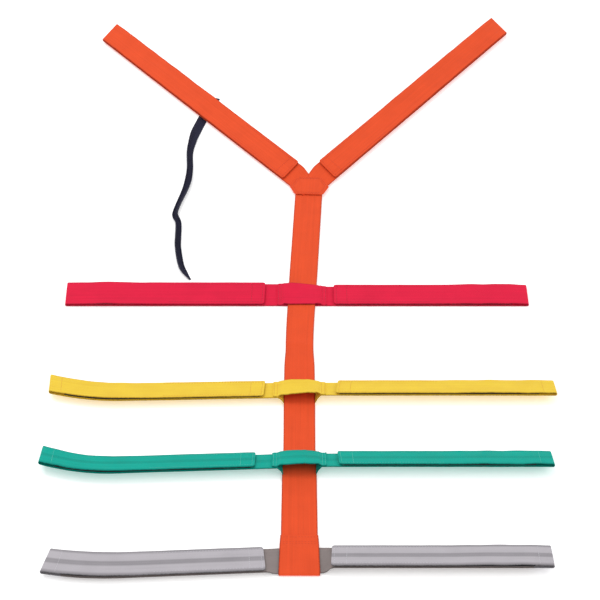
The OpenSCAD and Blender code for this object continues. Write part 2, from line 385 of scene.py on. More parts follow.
def webbing_material(name, colour, sheen_shade_bands, sheen_shade_depth, streak_depth):
    """Herringbone polyester webbing with yarn streaks, painted lengthwise bands of sheen and shade, and
    painted shade along its edges broken up by a fuzz grain.
    """
    w = Wiring(name)
    diagonal = w.wave(w.calc("ADD", w.along, w.calc("PINGPONG", w.across, CHEVRON)), PICK)
    cords = w.wave(w.across, CORD)
    weave = w.calc("MULTIPLY", w.calc("ADD", diagonal, w.calc("MULTIPLY", cords, 0.5)), 0.667)
    streaks = w.grain((7, 1100, 1), 1.0)
    soft_streaks = w.grain((3, 260, 1), 2.0)
    mottle = w.grain((26, 30, 1), 3.0)
    # painted sheen and shade: light and dark lengthwise bands across the width, darker toward the edges
    band = w.ramp(w.calc("DIVIDE", w.calc("ABSOLUTE", w.across), HALF), sheen_shade_bands)
    tone = w.total(
        0.5, (weave, 0.30), (streaks, streak_depth), (soft_streaks, streak_depth),
        (mottle, 0.30), (band, sheen_shade_depth))
    body = w.mix(tone, toned(colour, 0.62), toned(colour, 1.34))
    # painted shade along both selvedges, broken up by a fuzz grain, mixed toward a dark copy of the colour
    edge_shade = w.calc("MULTIPLY", w.edge(HALF, EDGE_SHADE_WIDTH), w.grain((420, 420, 1), 1.0))
    edge_shaded = w.mix(w.calc("MULTIPLY", edge_shade, 1.6), body, toned(colour, 0.34))
    roughness = w.total(0.68, (streaks, 0.18), (weave, -0.14), (mottle, 0.12))
    w.surface(edge_shaded, roughness, w.total(0.5, (weave, 1.0), (streaks, 0.5)), 0.00022)
    return w.finish(0.02, 0.08)


def thread_material(name, colour):
    """Bonded sewing thread, twisted from plies."""
    w = Wiring(name)
    plies = w.wave(w.calc("ADD", w.along, w.across), 0.0009)
    tone = w.total(0.5, (plies, 0.7), (w.grain((300, 300, 1)), 0.3))
    body = w.mix(tone, toned(colour, 0.55), toned(colour, 1.25))
    w.surface(body, w.total(0.5, (plies, 0.2)), plies, 0.0001)
    return w.finish(0.1, 0.4)


def loop_material(name):
    """Loop tape: a dull napped pile with a few lint flecks."""
    w = Wiring(name)
    pile = w.grain((900, 900, 1), 4.0)
    tufts = w.grain((240, 240, 1), 2.0)
    nap = w.calc("MULTIPLY", pile, tufts)
    lint = w.ramp(w.grain((310, 520, 1), 1.0), [(0.0, 0.0), (0.72, 0.0), (0.78, 1.0)])
    body = w.mix(w.total(0.5, (nap, 1.2)), (0.006, 0.006, 0.007, 1), (0.04, 0.038, 0.042, 1))
    flecked = w.mix(w.calc("MULTIPLY", lint, 0.25), body, (0.2, 0.19, 0.19, 1))
    w.surface(flecked, w.total(0.9, (tufts, 0.15)), nap, 0.0006)
    return w.finish(0.5, 0.15)


def hook_material(name):
    """Hook tape: rows of small stiff hooks on a woven ground."""
    w = Wiring(name)
    rows = w.wave(w.along, 0.0015)
    columns = w.wave(w.across, 0.0018)
    hooks = w.calc("MULTIPLY", rows, columns)
    body = w.mix(w.total(0.4, (hooks, 0.9), (w.grain((60, 60, 1)), 0.3)),
                 (0.008, 0.008, 0.009, 1), (0.06, 0.06, 0.065, 1))
    w.surface(body, w.total(0.45, (hooks, -0.2)), hooks, 0.0006)
    return w.finish(0.05, 0.45)


def tie_material(name, colour):
    """Thin plain-woven tape with crosswise ribs."""
    w = Wiring(name)
    ribs = w.wave(w.along, 0.0008)
    streaks = w.grain((12, 900, 1), 1.0)
    tone = w.total(0.5, (ribs, 0.35), (streaks, 0.5), (w.grain((40, 40, 1), 3.0), 0.5))
    body = w.mix(tone, toned(colour, 0.5), toned(colour, 1.7))
    w.surface(body, w.total(0.62, (streaks, 0.2), (ribs, -0.15)), ribs, 0.00012)
    return w.finish(0.04, 0.15)


# Webbings: colour, painted sheen and shade bands, and how strongly those bands and the yarn streaks show
WEBBINGS = {
    "orange_webbing": ((234, 80, 42), SOFT_SHEEN_SHADE_BANDS, 0.16, 0.30),
    "red_webbing": ((218, 32, 66), SOFT_SHEEN_SHADE_BANDS, 0.14, 0.28),
    "yellow_webbing": ((255, 196, 62), SOFT_SHEEN_SHADE_BANDS, 0.22, 0.22),
    "green_webbing": ((2, 156, 140), STRONG_SHEEN_SHADE_BANDS, 0.34, 0.30),
    "grey_webbing": ((160, 156, 161), STRONG_SHEEN_SHADE_BANDS, 1.0, 0.22),
    "grey_underside": ((138, 128, 126), SOFT_SHEEN_SHADE_BANDS, 0.2, 0.25),
}
THREADS = {
    "orange_thread": (196, 54, 20),
    "red_thread": (176, 18, 46),
    "yellow_thread": (222, 158, 32),
    "green_thread": (70, 190, 172),
    "grey_thread": (206, 204, 210),
}

MATERIALS = {}
for name, (colour, sheen_shade_bands, sheen_shade_depth, streak_depth) in WEBBINGS.items():
    MATERIALS[name] = webbing_material(name, linear(*colour), sheen_shade_bands, sheen_shade_depth, streak_depth)
for name, colour in THREADS.items():
    MATERIALS[name] = thread_material(name, linear(*colour))
MATERIALS["loop_tape"] = loop_material("loop_tape")
MATERIALS["hook_tape"] = hook_material("hook_tape")
MATERIALS["tie_webbing"] = tie_material("tie_webbing", linear(24, 24, 46))

# ---- building pieces ----

# Places of a section's points, as shares of the band's width: closer together near its edges
NEAR_EDGE = (0, 0.004, 0.012, 0.024, 0.06, 0.13, 0.22, 0.32, 0.41)
SECTION = NEAR_EDGE + (0.5,) + tuple(1 - f for f in reversed(NEAR_EDGE))

# Share of a band's width that is rounded off at each edge, and radius of the corners of a cut end
EDGE_ROUND = 0.024
CORNER_R = 0.004

# Faces that meet at a sharper angle than this are shaded with a crease
CREASE_ANGLE = math.radians(50)


def section_ring(rib, thickness):
    """Closed outline of a band at one rib, as points and their places across the band."""
    width = rib.right + rib.left
    top = []
    bottom = []
    for fraction in SECTION:
        across = fraction * width - rib.right
        inset = min(fraction, 1 - fraction)
        fullness = math.sqrt(1 - (1 - min(1, inset / EDGE_ROUND)) ** 2)
        middle = rib.point + rib.across * across + rib.up * rib.lift(rib.mark, across)
        half = rib.up * (thickness / 2 * fullness)
        top.append((middle + half, across))
        bottom.append((middle - half, across))
    return top + bottom[-2:0:-1]


def build_mesh(name, points, faces, places, slot):
    """A smooth closed mesh with outward normals, its strap_uv places and its material."""
    mesh = bpy.data.meshes.new(name)
    mesh.from_pydata(points, [], faces)
    shaped = bmesh.new()
    shaped.from_mesh(mesh)
    bmesh.ops.recalc_face_normals(shaped, faces=shaped.faces)
    shaped.to_mesh(mesh)
    shaped.free()
    attribute = mesh.attributes.new("strap_uv", "FLOAT_VECTOR", "POINT")
    attribute.data.foreach_set("vector", [value for place in places for value in place])
    mesh.polygons.foreach_set("use_smooth", [True] * len(mesh.polygons))
    mesh.set_sharp_from_angle(angle=CREASE_ANGLE)
    mesh.materials.append(MATERIALS[slot])
    obj = bpy.data.objects.new(name, mesh)
    bpy.context.scene.collection.objects.link(obj)
    return obj


def tube_faces(first, rings):
    """Faces that join rings of points, numbered on from first, with a cap at each end."""
    count = len(rings[0])
    last = first + (len(rings) - 1) * count
    faces = []
    for low in range(first, last, count):
        high = low + count
        for index in range(count):
            after = (index + 1) % count
            faces.append((low + index, low + after, high + after, high + index))
    faces.append(tuple(reversed(range(first, first + count))))
    faces.append(tuple(range(last, last + count)))
    return faces


def sweep(name, rings, slot, seed):
    """A closed mesh through rings of (point, place along, place across)."""
    points = [point for ring in rings for point, _, _ in ring]
    places = [(along, across, seed) for ring in rings for _, along, across in ring]
    return build_mesh(name, points, tube_faces(0, rings), places, slot)


def band(name, ribs, slot, seed, thickness=WEBBING_T):
    """A band of webbing through ribs. Its pattern spans its width, whatever that is at each rib."""
    rings = []
    for rib in ribs:
        slant = rib.across.dot(rib.along)
        share = HALF / max(rib.right, rib.left)
        ring = section_ring(rib, thickness)
        rings.append([(point, rib.mark + across * slant, across * share) for point, across in ring])
    return sweep(name, rings, slot, seed)


# Sewing: the length and pitch of stitches, and the radius and sides of the thread
STITCH_LENGTH = 0.0032
STITCH_PITCH = 0.0045
THREAD_R = 0.00034
THREAD_SIDES = 6

# How high the middle of a stitch lies, how far its ends dive below that, and how much thinner they are
STITCH_RISE = 0.00016
STITCH_DIVE = 0.00042
STITCH_TAPER = 0.25


def stitch(place, along, up):
    """Rings of one stitch: thread that rises out of the cloth, lies on it and goes back in."""
    side = along.cross(up)
    rings = []
    for t in (-1.0, -0.7, 0.0, 0.7, 1.0):
        middle = place + along * (t * STITCH_LENGTH / 2) + up * (STITCH_RISE - STITCH_DIVE * t ** 4)
        radius = THREAD_R * (1 - STITCH_TAPER * t * t)
        ring = []
        for index in range(THREAD_SIDES):
            angle = math.tau * index / THREAD_SIDES
            spoke = side * math.cos(angle) + up * math.sin(angle)
            ring.append((middle + spoke * radius, t * STITCH_LENGTH / 2, angle * radius))
        rings.append(ring)
    return rings


def seam(name, stitches, slot):
    """One piece of sewing: every stitch is (place, along, up)."""
    points = []
    faces = []
    places = []
    for place, along, up in stitches:
        rings = stitch(place, along.normalized(), up.normalized())
        faces += tube_faces(len(points), rings)
        for ring in rings:
            points += [point for point, _, _ in ring]
            places += [(s, v, 0.0) for _, s, v in ring]
    return build_mesh(name, points, faces, places, slot)


def stitch_line(start, end, up):
    """Stitches along a straight seam."""
    along = (end - start).normalized()
    count = max(1, round((end - start).length / STITCH_PITCH))
    return [(start.lerp(end, (index + 0.5) / count), along, up) for index in range(count)]


# ---- strap arms ----

# A strap that turns less than this, in radians, is straight
LEAST_TURN = 0.01

# Stitches on a flap: inset of the long rows from the hook tape's edges, where they start, and the cross rows
HOOK_ROW_INSET = 0.002
HOOK_ROW_START = 0.006
BOX_ROWS = (0.004, 0.022)

# How far a shoulder strap reaches past the yoke point, under the panel
SHOULDER_UNDERLAP = 0.012


class Arm:
    """The line of one strap, worked out from its lift and peel joints. s runs outward from the hinge."""

    def __init__(self, name, seed):
        lift = JOINTS[name + "_lift"]
        peel = JOINTS[name + "_peel"]
        self.name = name
        self.seed = seed
        self.side, self.level = name.split("_")
        self.start, self.slant = FLAP_START[name]
        self.fold_slant = FOLD_SLANT.get(name, 0.0)
        self.hinge = Vector(lift["pos_m"])
        self.left = -Vector(lift["axis"])
        self.along = Vector((self.left.y, -self.left.x, 0))
        self.base = self.hinge.z - WEBBING_T
        self.root = self.root_distance()
        axis = Vector(peel["axis"])
        self.bank = math.asin(axis.z)
        end_left = Vector((axis.x, axis.y, 0)).normalized()
        end_along = Vector((end_left.y, -end_left.x, 0))
        self.turn = math.atan2(end_along.cross(self.along).z, end_along.dot(self.along))
        end = Vector(peel["pos_m"]) + end_left * STACK_H * math.sin(self.bank) - self.hinge
        if self.turn > LEAST_TURN:
            self.radius = -end.dot(self.left) / (1 - math.cos(self.turn))
            self.run = end.dot(self.along) - self.radius * math.sin(self.turn)
            self.length = self.run + self.radius * self.turn
        else:
            self.radius = 0.0
            self.run = self.length = end.dot(self.along)

    def root_distance(self):
        """How far the lift hinge is from the strap's root at the yoke or under the spine."""
        if self.level == "shoulder":
            return YOKE_HINGE
        low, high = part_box(self.level + "_strap_centre")
        return (self.hinge - (low + high) / 2).dot(self.along)

    def bank_at(self, s):
        """Sideways tilt of the strap, s past the hinge."""
        start, end = BANK_EASE.get(self.level, SPINE_EDGE_EASE)
        return self.bank * smooth((s + self.root - start) / (end - start))

    def place(self, s):
        """Point on the strap's underside, and its along, left and up directions, s past the hinge."""
        turned = max(0.0, s - self.run) / self.radius if self.radius else 0.0
        along = self.along * math.cos(turned) - self.left * math.sin(turned)
        left = self.left * math.cos(turned) + self.along * math.sin(turned)
        straight = min(s, self.run) if self.radius else s
        point = self.hinge + self.along * (straight + self.radius * math.sin(turned))
        point -= self.left * self.radius * (1 - math.cos(turned))
        bank = self.bank_at(s)
        point.z = self.base + HALF * abs(math.sin(bank))
        up = UP * math.cos(bank) - left * math.sin(bank)
        across = left * math.cos(bank) + UP * math.sin(bank)
        return point, along, across, up

    def lower_lift(self, s, across):
        """The lower layer's slight waves, which die out at the fold."""
        return LOWER_WAVE * waves(s, across, self.seed) * smooth((self.length - s) / LOWER_SETTLE)

    def flap_lift(self, s, across):
        """A flap lies flat where the hooks hold it, and looser from there to the fold."""
        loose = smooth((s - self.start - HOOK_LENGTH) / LOOSE_EASE)
        depth = FLAP_WAVE + LOOSE_WAVE * loose
        shape = waves(s, across, self.seed + WAVE_SEEDS["flap"])
        return depth * shape * smooth((self.length - s) / FLAP_SETTLE)

    def rib(self, s, height, half=HALF, lift=flat, slant=0.0):
        """Cross-section of a layer whose middle is at that height above the strap's underside."""
        point, along, across, up = self.place(s)
        return Rib(point + up * height, along, across + along * slant, up, s, half, half, lift)

    def fold_slanted(self, s):
        """Slant of the ribs near the outer fold."""
        return self.fold_slant * smooth(1 - (self.length - s) / SLANT_FADE)

    def slanted(self, s):
        """Slant of the flap's ribs, near its free end and near the outer fold."""
        return self.slant * smooth(1 - (s - self.start) / SLANT_FADE) + self.fold_slanted(s)


def corner_trim(distance):
    """How far an edge draws in near a rounded corner, at that distance from the end."""
    if distance >= CORNER_R:
        return 0.0
    return CORNER_R - math.sqrt(CORNER_R ** 2 - (CORNER_R - distance) ** 2)


def lower_ribs(arm, inner):
    """Ribs of the lower layer, from s = inner to where the fold piece takes over."""
    ribs = []
    for s in steps(inner, arm.length - FOLD_MARGIN):
        rib = arm.rib(s, LOWER_MID, lift=arm.lower_lift, slant=arm.fold_slanted(s))
        if arm.level == "shoulder":
            rib = mitred(rib, arm, s + YOKE_HINGE)
        ribs.append(rib)
    return ribs


def mitred(rib, arm, from_yoke):
    """A shoulder strap's rib, narrowed near the yoke by the cut along the line between the shoulders."""
    limit = MITRE * from_yoke
    if arm.side == "left":
        return rib._replace(right=min(HALF, limit))
    return rib._replace(left=min(HALF, limit))


def return_ribs(arm):
    """Ribs of the outer fold: out along the lower layer, round, and back to where the flap takes over."""
    ribs = []
    for s in steps(arm.length - FOLD_MARGIN, arm.length):
        ribs.append(arm.rib(s, LOWER_MID, lift=arm.lower_lift, slant=arm.fold_slanted(s)))
    point, along, across, up = arm.place(arm.length)
    across = across + along * arm.fold_slant
    centre = point + up * (LOWER_MID + FOLD_MID_R)
    for index in range(1, FOLD_STEPS):
        angle = math.pi * (index / FOLD_STEPS - 0.5)
        spoke = along * math.cos(angle) + up * math.sin(angle)
        tangent = up * math.cos(angle) - along * math.sin(angle)
        mark = arm.length + FOLD_MID_R * (angle + math.pi / 2)
        ribs.append(Rib(centre + spoke * FOLD_MID_R, tangent, across, -spoke, mark, HALF, HALF, flat))
    over = arm.length + math.pi * FOLD_MID_R
    for s in steps(arm.length, arm.length - FOLD_MARGIN):
        rib = arm.rib(s, FLAP_MID, slant=arm.fold_slanted(s))
        ribs.append(rib._replace(
            along=-rib.along, up=-rib.up, mark=over + arm.length - s,
            lift=lambda _, across, s=s: -arm.flap_lift(s, across)))
    return ribs


def flap_ribs(arm):
    """Ribs of the flap, from where the fold piece ends to its free end with rounded corners."""
    over = 2 * arm.length + math.pi * FOLD_MID_R
    end_steps = [arm.start + CORNER_R * share for share in (1, 0.6, 0.3, 0.1, 0)]
    ribs = []
    for s in steps(arm.length - FOLD_MARGIN, arm.start + CORNER_R) + end_steps[1:]:
        half = HALF - corner_trim(s - arm.start)
        rib = arm.rib(s, FLAP_MID, half, slant=arm.slanted(s))
        ribs.append(rib._replace(
            along=-rib.along, mark=over - s, lift=lambda _, across, s=s: arm.flap_lift(s, across)))
    return ribs


def tape_ribs(arm, start, end, height, lift):
    """Ribs of a hook or loop tape."""
    return [arm.rib(s, height, TAPE_HALF, lift, arm.slanted(s)) for s in steps(start, end)]


def flap_stitches(arm):
    """Box stitch at the free end, two rows along the hook tape and, on some, a row near the outer fold."""
    stitches = []
    surface = FLAP_MID + WEBBING_T / 2

    def add(s, across, crosswise):
        point, along, left, up = arm.place(s)
        left = left + along * arm.slanted(s)
        spot = point + up * (surface + arm.flap_lift(s, across)) + left * across
        stitches.append((spot, left if crosswise else along, up))

    row = TAPE_HALF - HOOK_ROW_INSET
    for s in steps(arm.start + HOOK_ROW_START, arm.start + HOOK_LENGTH, STITCH_PITCH):
        add(s, row, False)
        add(s, -row, False)
    seams = [arm.start + place for place in BOX_ROWS]
    if arm.level in FOLD_SEAM_LEVELS:
        seams.append(arm.length - FOLD_SEAM)
    for s in seams:
        for across in steps(-row, row, STITCH_PITCH):
            add(s, across, True)
    return stitches


def build_arm(arm, inner, centre_nodes):
    """All pieces of one strap arm."""
    colour = LEVELS[arm.level]
    webbing = colour + "_webbing"
    arm_body = arm.name + "_arm"
    closure_body = arm.name + "_closure"

    ribs = lower_ribs(arm, inner)
    lower = band(arm.name + "_webbing", ribs, "grey_underside" if arm.level == "foot" else webbing, arm.seed)
    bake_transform(lower)
    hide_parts(arm.name + "_strap", *centre_nodes)

    ribs = return_ribs(arm)
    turned = band(arm.name + "_return", ribs, webbing, arm.seed)
    point, _, _, up = arm.place(arm.length)
    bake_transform(turned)
    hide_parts(arm.name + "_strap", arm.name + "_flap")

    ribs = flap_ribs(arm)
    flap = band(arm.name + "_flap_webbing", ribs, webbing, arm.seed)
    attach(flap, closure_body)
    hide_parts(arm.name + "_flap")

    tape_start = arm.start + TAPE_END_MARGIN
    loop_ribs = tape_ribs(arm, tape_start, arm.length - LOOP_TAPE_MARGIN, LOOP_MID, arm.lower_lift)
    loop = band(arm.name + "_loop_pile", loop_ribs, "loop_tape", arm.seed, TAPE_T)
    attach(loop, arm_body)
    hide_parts(arm.name + "_loop_tape")

    hook_ribs = tape_ribs(arm, tape_start, tape_start + HOOK_LENGTH, HOOK_MID, arm.flap_lift)
    hook = band(arm.name + "_hook_rows", hook_ribs, "hook_tape", arm.seed, TAPE_T)
    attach(hook, closure_body)
    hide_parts(arm.name + "_hook_tape")

    sewing = seam(arm.name + "_flap_sewing", flap_stitches(arm), colour + "_thread")
    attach(sewing, closure_body)


ARMS = {name: Arm(name, 1 + index) for index, name in enumerate(FLAP_START)}

left_shoulder = ARMS["left_shoulder"]
right_shoulder = ARMS["right_shoulder"]
YOKE_POINT = left_shoulder.hinge - left_shoulder.along * YOKE_HINGE
YOKE_POINT.z = 0

# The shoulders meet on the line halfway between them; MITRE is that line's slope in a strap's own frame
between = (left_shoulder.along + right_shoulder.along).normalized()
MITRE = math.sqrt(1 - between.dot(left_shoulder.along) ** 2) / between.dot(left_shoulder.along)

for arm in ARMS.values():
    if arm.level == "shoulder":
        build_arm(arm, -arm.root - SHOULDER_UNDERLAP, ["shoulder_yoke"])
    else:
        build_arm(arm, -arm.root, [arm.level + "_strap_centre"])

# ---- spine and end loop ----

# The spine's line: straight up from the foot strap, then leaning over as the chest strap's slide does
foot_low, foot_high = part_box("foot_strap_centre")
AXIS_X = (foot_low.x + foot_high.x) / 2
FOOT_Y = (foot_low.y + foot_high.y) / 2
LEAN = Vector(JOINTS["chest_slide"]["axis"])
chest_low, chest_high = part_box("chest_strap_centre")
CHEST = (chest_low + chest_high) / 2
BEND_Y = CHEST.y - (CHEST.x - AXIS_X) * LEAN.y / LEAN.x
BEND_EASE = 0.03
SPINE_END = FOOT_Y + 0.028
SPINE_TOP = YOKE_POINT.y + 0.010
SPINE_WAVE = 0.0005

# How far each way along the spine its direction is taken
SPINE_REACH = 0.001

# Half width of the spine webbing on its way up: fuller below the thigh strap, drawn in above the hip strap
SPINE_HALVES = [
    (FOOT_Y - 0.030, 0.0295), (FOOT_Y + 0.020, 0.0285), (FOOT_Y + 0.055, 0.0272), (FOOT_Y + 0.17, 0.0266),
    (FOOT_Y + 0.24, 0.0248), (FOOT_Y + 0.36, 0.0250), (FOOT_Y + 0.42, 0.0246), (FOOT_Y + 0.47, 0.0228),
    (FOOT_Y + 0.57, 0.0232), (FOOT_Y + 0.68, 0.0240), (SPINE_TOP, 0.0244),
]

# Crosswise creases left by storage: place above the foot strap, height, half length; and their skew
CREASES = [
    (0.105, 0.0005, 0.006), (0.128, 0.0004, 0.004), (0.478, 0.0011, 0.005), (0.540, 0.0006, 0.007),
    (0.715, 0.0004, 0.006),
]
CREASE_SKEW = 0.15


def between_pairs(pairs, y):
    """A value that eases from one (place, value) pair to the next."""
    for (low_y, low_value), (high_y, high_value) in zip(pairs, pairs[1:]):
        if y <= high_y:
            return low_value + (high_value - low_value) * smooth((y - low_y) / (high_y - low_y))
    return pairs[-1][1]


def spine_x(y):
    """Middle line of the spine, which leans over above its bend."""
    over = y - BEND_Y
    return AXIS_X + LEAN.x / LEAN.y * (over + math.hypot(over, BEND_EASE)) / 2


def spine_lift(y, across):
    """Loose waves and storage creases of the spine webbing."""
    crease = sum(
        height * math.exp(-((y - FOOT_Y - place - CREASE_SKEW * across) / length) ** 2)
        for place, height, length in CREASES)
    return crease + SPINE_WAVE * waves(y, across, WAVE_SEEDS["spine"])


def spine_rib(y, height, lift=spine_lift, spare=0.0):
    """Cross-section of the spine webbing, wider by spare on each side."""
    sideways = spine_x(y + SPINE_REACH) - spine_x(y - SPINE_REACH)
    ahead = Vector((sideways, 2 * SPINE_REACH, 0)).normalized()
    across = Vector((-ahead.y, ahead.x, 0))
    half = between_pairs(SPINE_HALVES, y) + spare
    return Rib(Vector((spine_x(y), y, height)), ahead, across, UP, y, half, half, lift)


def build_spine():
    """The webbing that runs from the end loop up to the yoke."""
    ribs = [spine_rib(y, SPINE_MID) for y in steps(SPINE_END, SPINE_TOP, SPINE_STEP)]
    spine = band("spine_webbing", ribs, "orange_webbing", PATTERN_SEEDS["spine"])
    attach(spine, "harness")
    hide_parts("spine_strap")


# The end loop: height of its upper layer, its sewn end, its fold, and its spare width on each side
LOOP_TOP_MID = KEEPER_MID
LOOP_SEAM_END = FOOT_Y + 0.048
LOOP_FOLD_Y = FOOT_Y - 0.026
LOOP_R = (LOOP_TOP_MID - LOWER_MID) / 2
LOOP_SPARE = 0.0008

# Spacing of the ribs on the upper layer, and its waves
LOOP_TOP_STEP = 0.0025
LOOP_WAVE = 0.0004

# How high the upper layer stands over the foot strap, how far out from the strap's middle, and its slope
LOOP_ARCH = 0.0012
LOOP_ARCH_HALF = 0.030
LOOP_ARCH_EASE = 0.008

# Rows of stitches across the loop, above the foot strap, and how far they stop short of its edges
LOOP_ROWS = (0.0305, 0.0345, 0.0440)
LOOP_ROW_INSET = 0.003


def loop_top_lift(y, across):
    """The loop stands up a little over the foot strap and dips where it is sewn."""
    over_strap = smooth((LOOP_ARCH_HALF - abs(y - FOOT_Y)) / LOOP_ARCH_EASE)
    return LOOP_ARCH * over_strap + LOOP_WAVE * waves(y, across, WAVE_SEEDS["loop"])


def build_end_loop():
    """The end of the spine webbing, folded round the foot strap and sewn back on itself."""
    ribs = []
    for y in steps(LOOP_SEAM_END, LOOP_FOLD_Y, LOOP_TOP_STEP):
        ribs.append(spine_rib(y, LOOP_TOP_MID, loop_top_lift, LOOP_SPARE))
    edge = spine_rib(LOOP_FOLD_Y, 0, flat, LOOP_SPARE)
    for index in range(1, LOOP_FOLD_STEPS):
        angle = math.pi * index / LOOP_FOLD_STEPS
        spoke = Vector((0, -math.sin(angle), math.cos(angle)))
        centre = edge.point + UP * (LOWER_MID + LOOP_R)
        fade = (1 + math.cos(angle)) / 2
        ribs.append(edge._replace(
            point=centre + spoke * LOOP_R, up=spoke, mark=LOOP_FOLD_Y - LOOP_R * angle,
            lift=lambda _, across, fade=fade: fade * loop_top_lift(LOOP_FOLD_Y, across)))
    for y in steps(LOOP_FOLD_Y, LOOP_SEAM_END, SPINE_STEP):
        rib = spine_rib(y, LOWER_MID, flat, LOOP_SPARE)
        ribs.append(rib._replace(up=-rib.up, mark=2 * LOOP_FOLD_Y - y - math.pi * LOOP_R))
    loop = band("end_loop_webbing", ribs, "orange_webbing", PATTERN_SEEDS["loop"])
    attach(loop, "harness")
    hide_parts("spine_end_loop")

    stitches = []
    for row in LOOP_ROWS:
        rib = spine_rib(FOOT_Y + row, LOOP_TOP_MID + WEBBING_T / 2, flat)
        reach = rib.across * (rib.left - LOOP_ROW_INSET)
        stitches += stitch_line(rib.point - reach, rib.point + reach, rib.up)
    sewing = seam("end_loop_sewing", stitches, "orange_thread")
    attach(sewing, "harness")
    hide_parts("end_loop_stitching")


build_spine()
build_end_loop()

# ---- keepers: webbing tunnels sewn on the cross straps, which hold them on the spine ----

# Half length of a keeper, its seams' places on each side, and how far they stop short of its edges
KEEPER_HALF = 0.042
KEEPER_SEAMS = (0.0355, 0.0400)
KEEPER_SEAM_INSET = 0.0025

# Height of its sewn ends' middle layer, half width of its tunnel and length of the slope down from it
SEWN_MID = LOWER_MID + WEBBING_T
TUNNEL_HALF = 0.0290
SLOPE = 0.006

# How far its edges draw in between middle and seams, where that begins, and how fast it grows and lets go
PINCH = 0.0014
PINCH_START = 0.018
PINCH_EASE = 0.010
PINCH_RELEASE = 0.006
KEEPER_STEP = 0.0015

# Arch above the spine, wrinkles (place along the keeper, height, half length) and how far a corner curls up
KEEPERS = {
    "chest": (0.0010, [(0.026, 0.0007, 0.002), (0.0325, 0.0009, 0.0018), (-0.030, 0.0004, 0.002)], 0.0),
    "hip": (0.0022, [(-0.012, 0.0004, 0.004), (0.014, 0.0005, 0.004)], 0.0),
    "thigh": (0.0022, [(0.008, 0.0005, 0.003)], 0.0028),
}


def keeper_height(x, arch, wrinkles):
    """Height of the keeper's middle layer above the strap's underside, x from its middle."""
    over = smooth((TUNNEL_HALF + SLOPE - abs(x)) / SLOPE)
    bow = arch * max(0.0, math.cos(math.pi * x / (2 * (TUNNEL_HALF + SLOPE))))
    crumple = sum(height * math.exp(-((x - place) / length) ** 2) for place, height, length in wrinkles)
    return SEWN_MID + (KEEPER_MID - SEWN_MID) * over + bow + crumple


def keeper_frame(level, middle, x, height):
    """Point on the keeper, and its across and up directions, tipped from one side's bank to the other's."""
    right_share = smooth((x + TUNNEL_HALF) / (2 * TUNNEL_HALF))
    tilt = ARMS["right_" + level].bank * right_share - ARMS["left_" + level].bank * (1 - right_share)
    across = Vector((0, math.cos(tilt), math.sin(tilt)))
    up = Vector((0, -math.sin(tilt), math.cos(tilt)))
    low_edge = HALF * abs(math.sin(tilt))
    return middle + Vector((x, 0, low_edge)) + up * height, across, up


def build_keeper(level, seed):
    """One tunnel and the seams that hold it."""
    arch, wrinkles, tip = KEEPERS[level]
    low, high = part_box(level + "_keeper")
    middle = Vector(((low.x + high.x) / 2, (low.y + high.y) / 2, 0))
    ribs = []
    for x in steps(-KEEPER_HALF, KEEPER_HALF, KEEPER_STEP):
        curl = tip * smooth((x - KEEPER_SEAMS[1]) / (KEEPER_HALF - KEEPER_SEAMS[1]))
        pinched = smooth((abs(x) - PINCH_START) / PINCH_EASE)
        released = smooth((KEEPER_SEAMS[0] - abs(x)) / PINCH_RELEASE)
        half = HALF - corner_trim(KEEPER_HALF - abs(x)) / 2 - PINCH * pinched * released
        point, across, up = keeper_frame(level, middle, x, keeper_height(x, arch, wrinkles))
        ribs.append(Rib(
            point, Vector((1, 0, 0)), across, up, x, half, half,
            lambda _, place, curl=curl: curl * smooth(place / HALF)))
    keeper = band(level + "_tunnel", ribs, LEVELS[level] + "_webbing", seed)
    body = level + "_slider"
    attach(keeper, body)
    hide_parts(level + "_keeper")

    stitches = []
    for side in (-1, 1):
        for row in KEEPER_SEAMS:
            spot, across, up = keeper_frame(level, middle, side * row, SEWN_MID + WEBBING_T / 2)
            reach = across * (HALF - KEEPER_SEAM_INSET)
            stitches += stitch_line(spot - reach, spot + reach, up)
    sewing = seam(level + "_sewing", stitches, LEVELS[level] + "_thread")
    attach(sewing, body)
    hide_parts(level + "_stitching")


for seed, level in enumerate(KEEPERS, PATTERN_SEEDS["keepers"]):
    build_keeper(level, seed)

# ---- yoke panel over the meeting of the spine and the shoulder straps ----

# Corners in the yoke's frame: across the spine, then up along it
PANEL_CORNERS = [
    (-0.0255, -0.023), (-0.0360, 0.001), (-0.0225, 0.0290),
    (0.0225, 0.0290), (0.0360, 0.001), (0.0255, -0.023),
]

# Share of each side that its rounded corner takes, and the arc's steps
PANEL_ROUND = 0.12
PANEL_CORNER_STEPS = 5

# The panel is wider than the webbing, so its bands are drawn out to its sides
PANEL_HALF = 0.0365

# Inset from the panel's edge, as a share of its size, and height above its underside, from the bottom up
PANEL_LEVELS = [
    (0.010, 0.0), (0.0, 0.0006), (0.006, 0.0012), (0.045, 0.0017), (0.085, 0.00125), (0.11, 0.0012),
    (0.16, 0.0018), (0.45, 0.0021), (0.75, 0.0022),
]

# The same two numbers for its seams
PANEL_SEAMS = [(0.095, 0.0012), (0.20, 0.0018)]


def rounded_outline(corners):
    """Outline through corners that are rounded off by short quadratic arcs, with points along the sides."""
    outline = []
    for index, corner in enumerate(corners):
        here = Vector(corner)
        before = here.lerp(Vector(corners[index - 1]), PANEL_ROUND)
        after = here.lerp(Vector(corners[(index + 1) % len(corners)]), PANEL_ROUND)
        for step in range(PANEL_CORNER_STEPS + 1):
            t = step / PANEL_CORNER_STEPS
            outline.append(before.lerp(here, t).lerp(here.lerp(after, t), t))
        far = Vector(corners[(index + 1) % len(corners)]).lerp(here, PANEL_ROUND)
        outline += [after.lerp(far, share / 4) for share in (1, 2, 3)]
    return outline


def yoke_place(across, along, height):
    """A point given across and along the leaning top of the spine."""
    right = Vector((LEAN.y, -LEAN.x, 0))
    return YOKE_POINT + right * across + LEAN * along + UP * height


